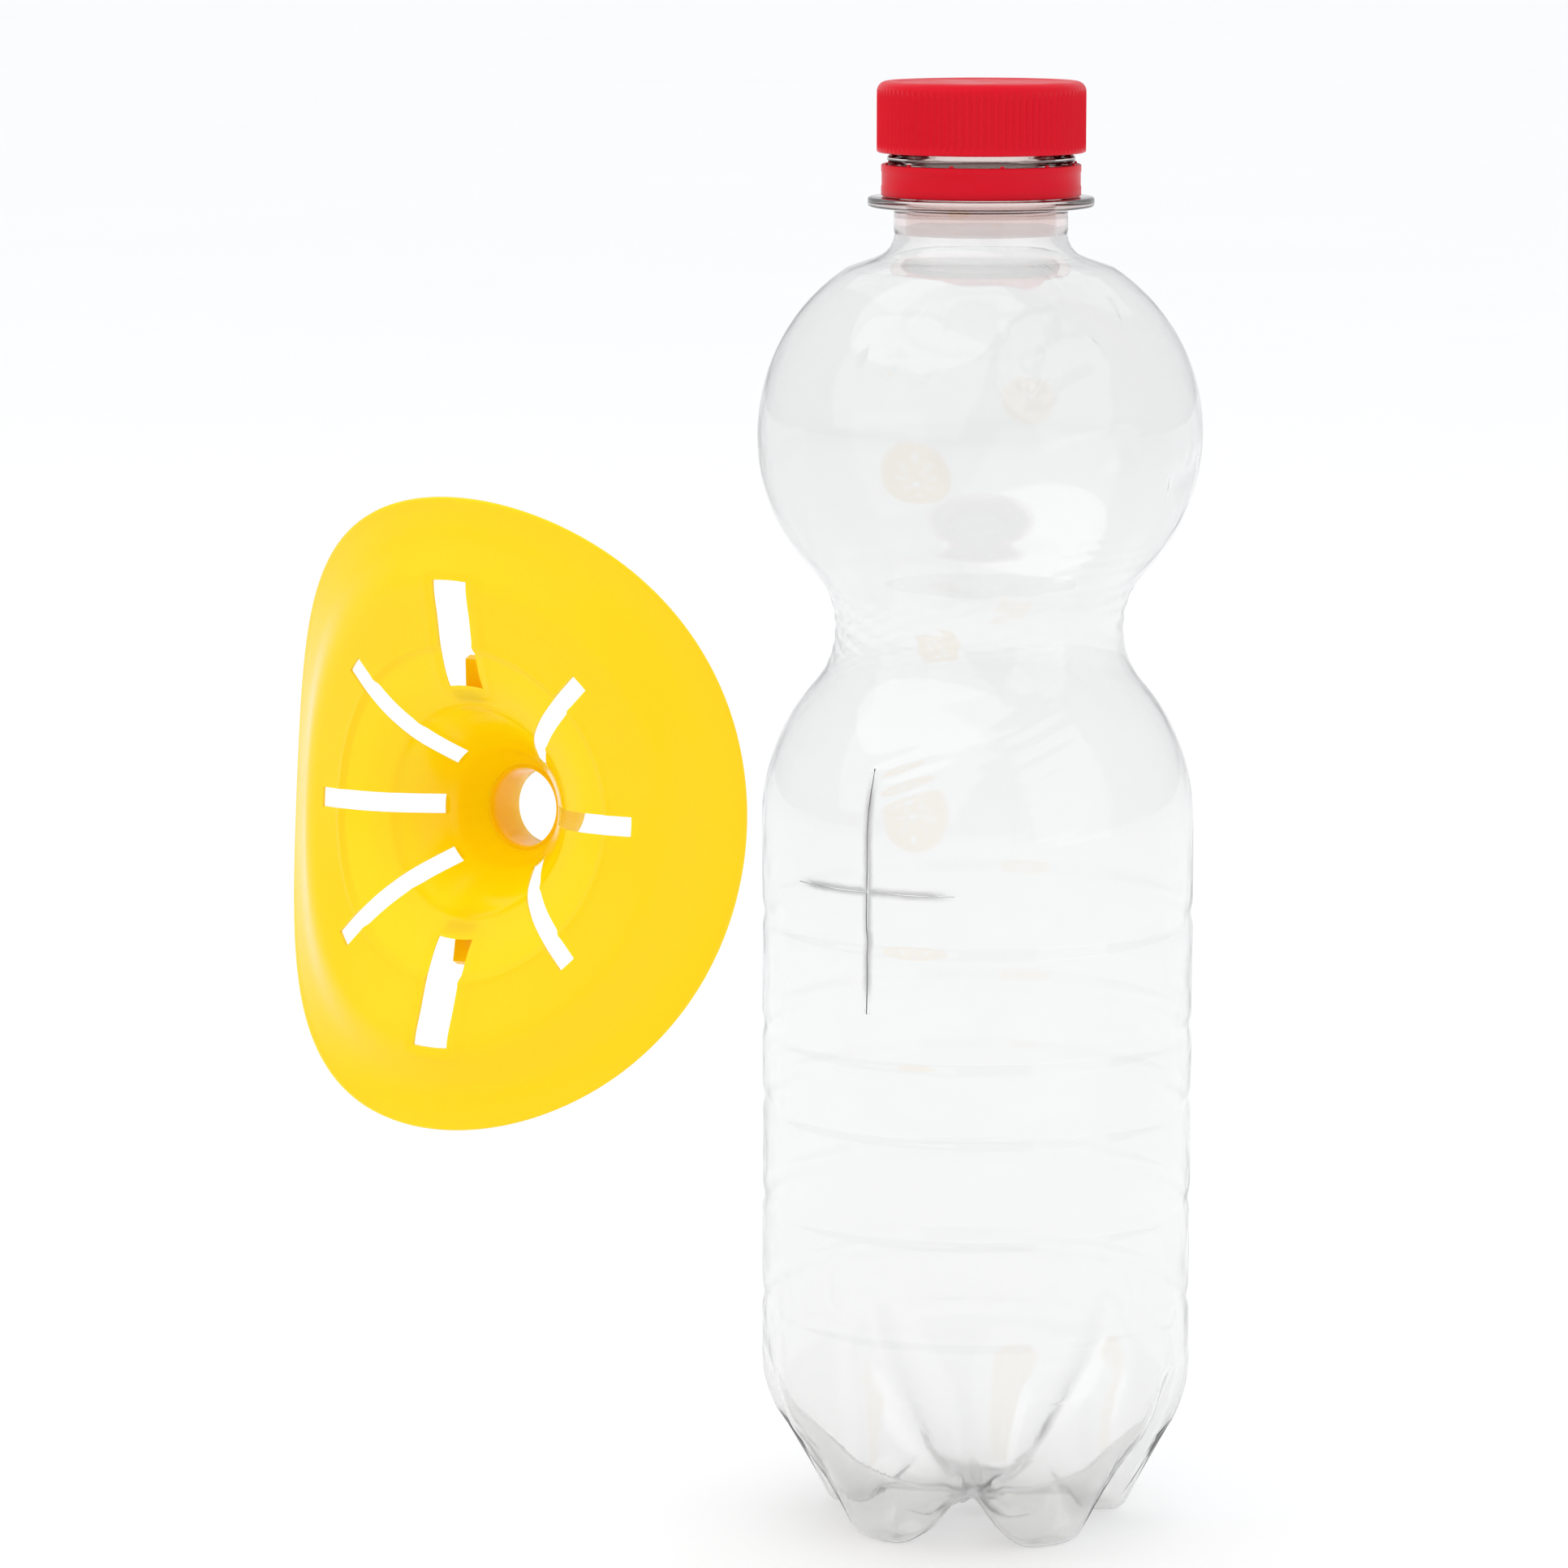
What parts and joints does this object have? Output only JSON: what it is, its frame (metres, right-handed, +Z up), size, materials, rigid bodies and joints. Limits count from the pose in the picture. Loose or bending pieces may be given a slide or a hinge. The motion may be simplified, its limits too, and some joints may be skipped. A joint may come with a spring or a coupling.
{
  "type": "wasp trap",
  "caption": "Wasp trap made of a clear drinks bottle with a cross cut in its wall, a screw cap and band, and a slotted yellow funnel that pushes nose first into the cut.",
  "frame": {"origin": "centre of the circle of feet, on the floor under the bottle's axis", "axes": "+Z up the bottle's axis, -Y out through the centre of the cross cut towards the funnel, +X to the right when facing the cut"},
  "size_m": [0.0698, 0.1733, 0.2125],
  "materials": {
    "clear_pet": "clear blown PET, glossy",
    "red_cap": "moulded polypropylene, satin gloss",
    "liner": "soft off-white sealing disc",
    "yellow_funnel": "translucent glossy polypropylene"
  },
  "bodies": {
    "bottle": {"bottle": "clear_pet"},
    "flap_upper_left": {"flap_upper_left": "clear_pet"},
    "flap_upper_right": {"flap_upper_right": "clear_pet"},
    "flap_lower_left": {"flap_lower_left": "clear_pet"},
    "flap_lower_right": {"flap_lower_right": "clear_pet"},
    "cap_liner": {"cap_liner": "liner"},
    "cap": {"cap": "red_cap"},
    "tamper_band": {"tamper_band": "red_cap"},
    "funnel": {"funnel": "yellow_funnel"}
  },
  "joints": [
    {"name": "funnel_push", "type": "slide", "parent": "bottle", "child": "funnel", "axis": [0, 0.9656, -0.26], "range_m": [0, 0.0942]},
    {"name": "flap_upper_left_bend", "type": "hinge", "parent": "bottle", "child": "flap_upper_left", "pos_m": [-0.0065, -0.02933, 0.10733], "axis": [0.6013, -0.0427, 0.7979], "range_deg": [0, 88.5]},
    {"name": "flap_upper_right_bend", "type": "hinge", "parent": "bottle", "child": "flap_upper_right", "pos_m": [0.0065, -0.02933, 0.10733], "axis": [0.6013, 0.0427, -0.7979], "range_deg": [0, 88.5]},
    {"name": "flap_lower_left_bend", "type": "hinge", "parent": "bottle", "child": "flap_lower_left", "pos_m": [-0.0065, -0.03019, 0.09008], "axis": [-0.596, 0.1388, 0.7909], "range_deg": [0, 88.5]},
    {"name": "flap_lower_right_bend", "type": "hinge", "parent": "bottle", "child": "flap_lower_right", "pos_m": [0.0065, -0.03019, 0.09008], "axis": [-0.596, -0.1388, -0.7909], "range_deg": [0, 88.5]},
    {"name": "cap_rise", "type": "slide", "parent": "bottle", "child": "cap_liner", "axis": [0, 0, 1], "range_m": [-0.00136, 0.00815]},
    {"name": "cap_turn", "type": "hinge", "parent": "cap_liner", "child": "cap", "pos_m": [0, 0, 0.2075], "axis": [0, 0, 1], "range_deg": [-180, 1080]},
    {"name": "band_turn", "type": "hinge", "parent": "bottle", "child": "tamper_band", "pos_m": [0, 0, 0.198], "axis": [0, 0, 1], "continuous": true}
  ],
  "couplings": [
    {"joint": "flap_upper_left_bend", "follows": "funnel_push", "rad_per_m": 16.305},
    {"joint": "flap_upper_right_bend", "follows": "funnel_push", "rad_per_m": 16.305},
    {"joint": "flap_lower_left_bend", "follows": "funnel_push", "rad_per_m": 16.305},
    {"joint": "flap_lower_right_bend", "follows": "funnel_push", "rad_per_m": 16.305},
    {"joint": "cap_rise", "follows": "cap_turn", "m_per_rad": 0.00042972}
  ]
}
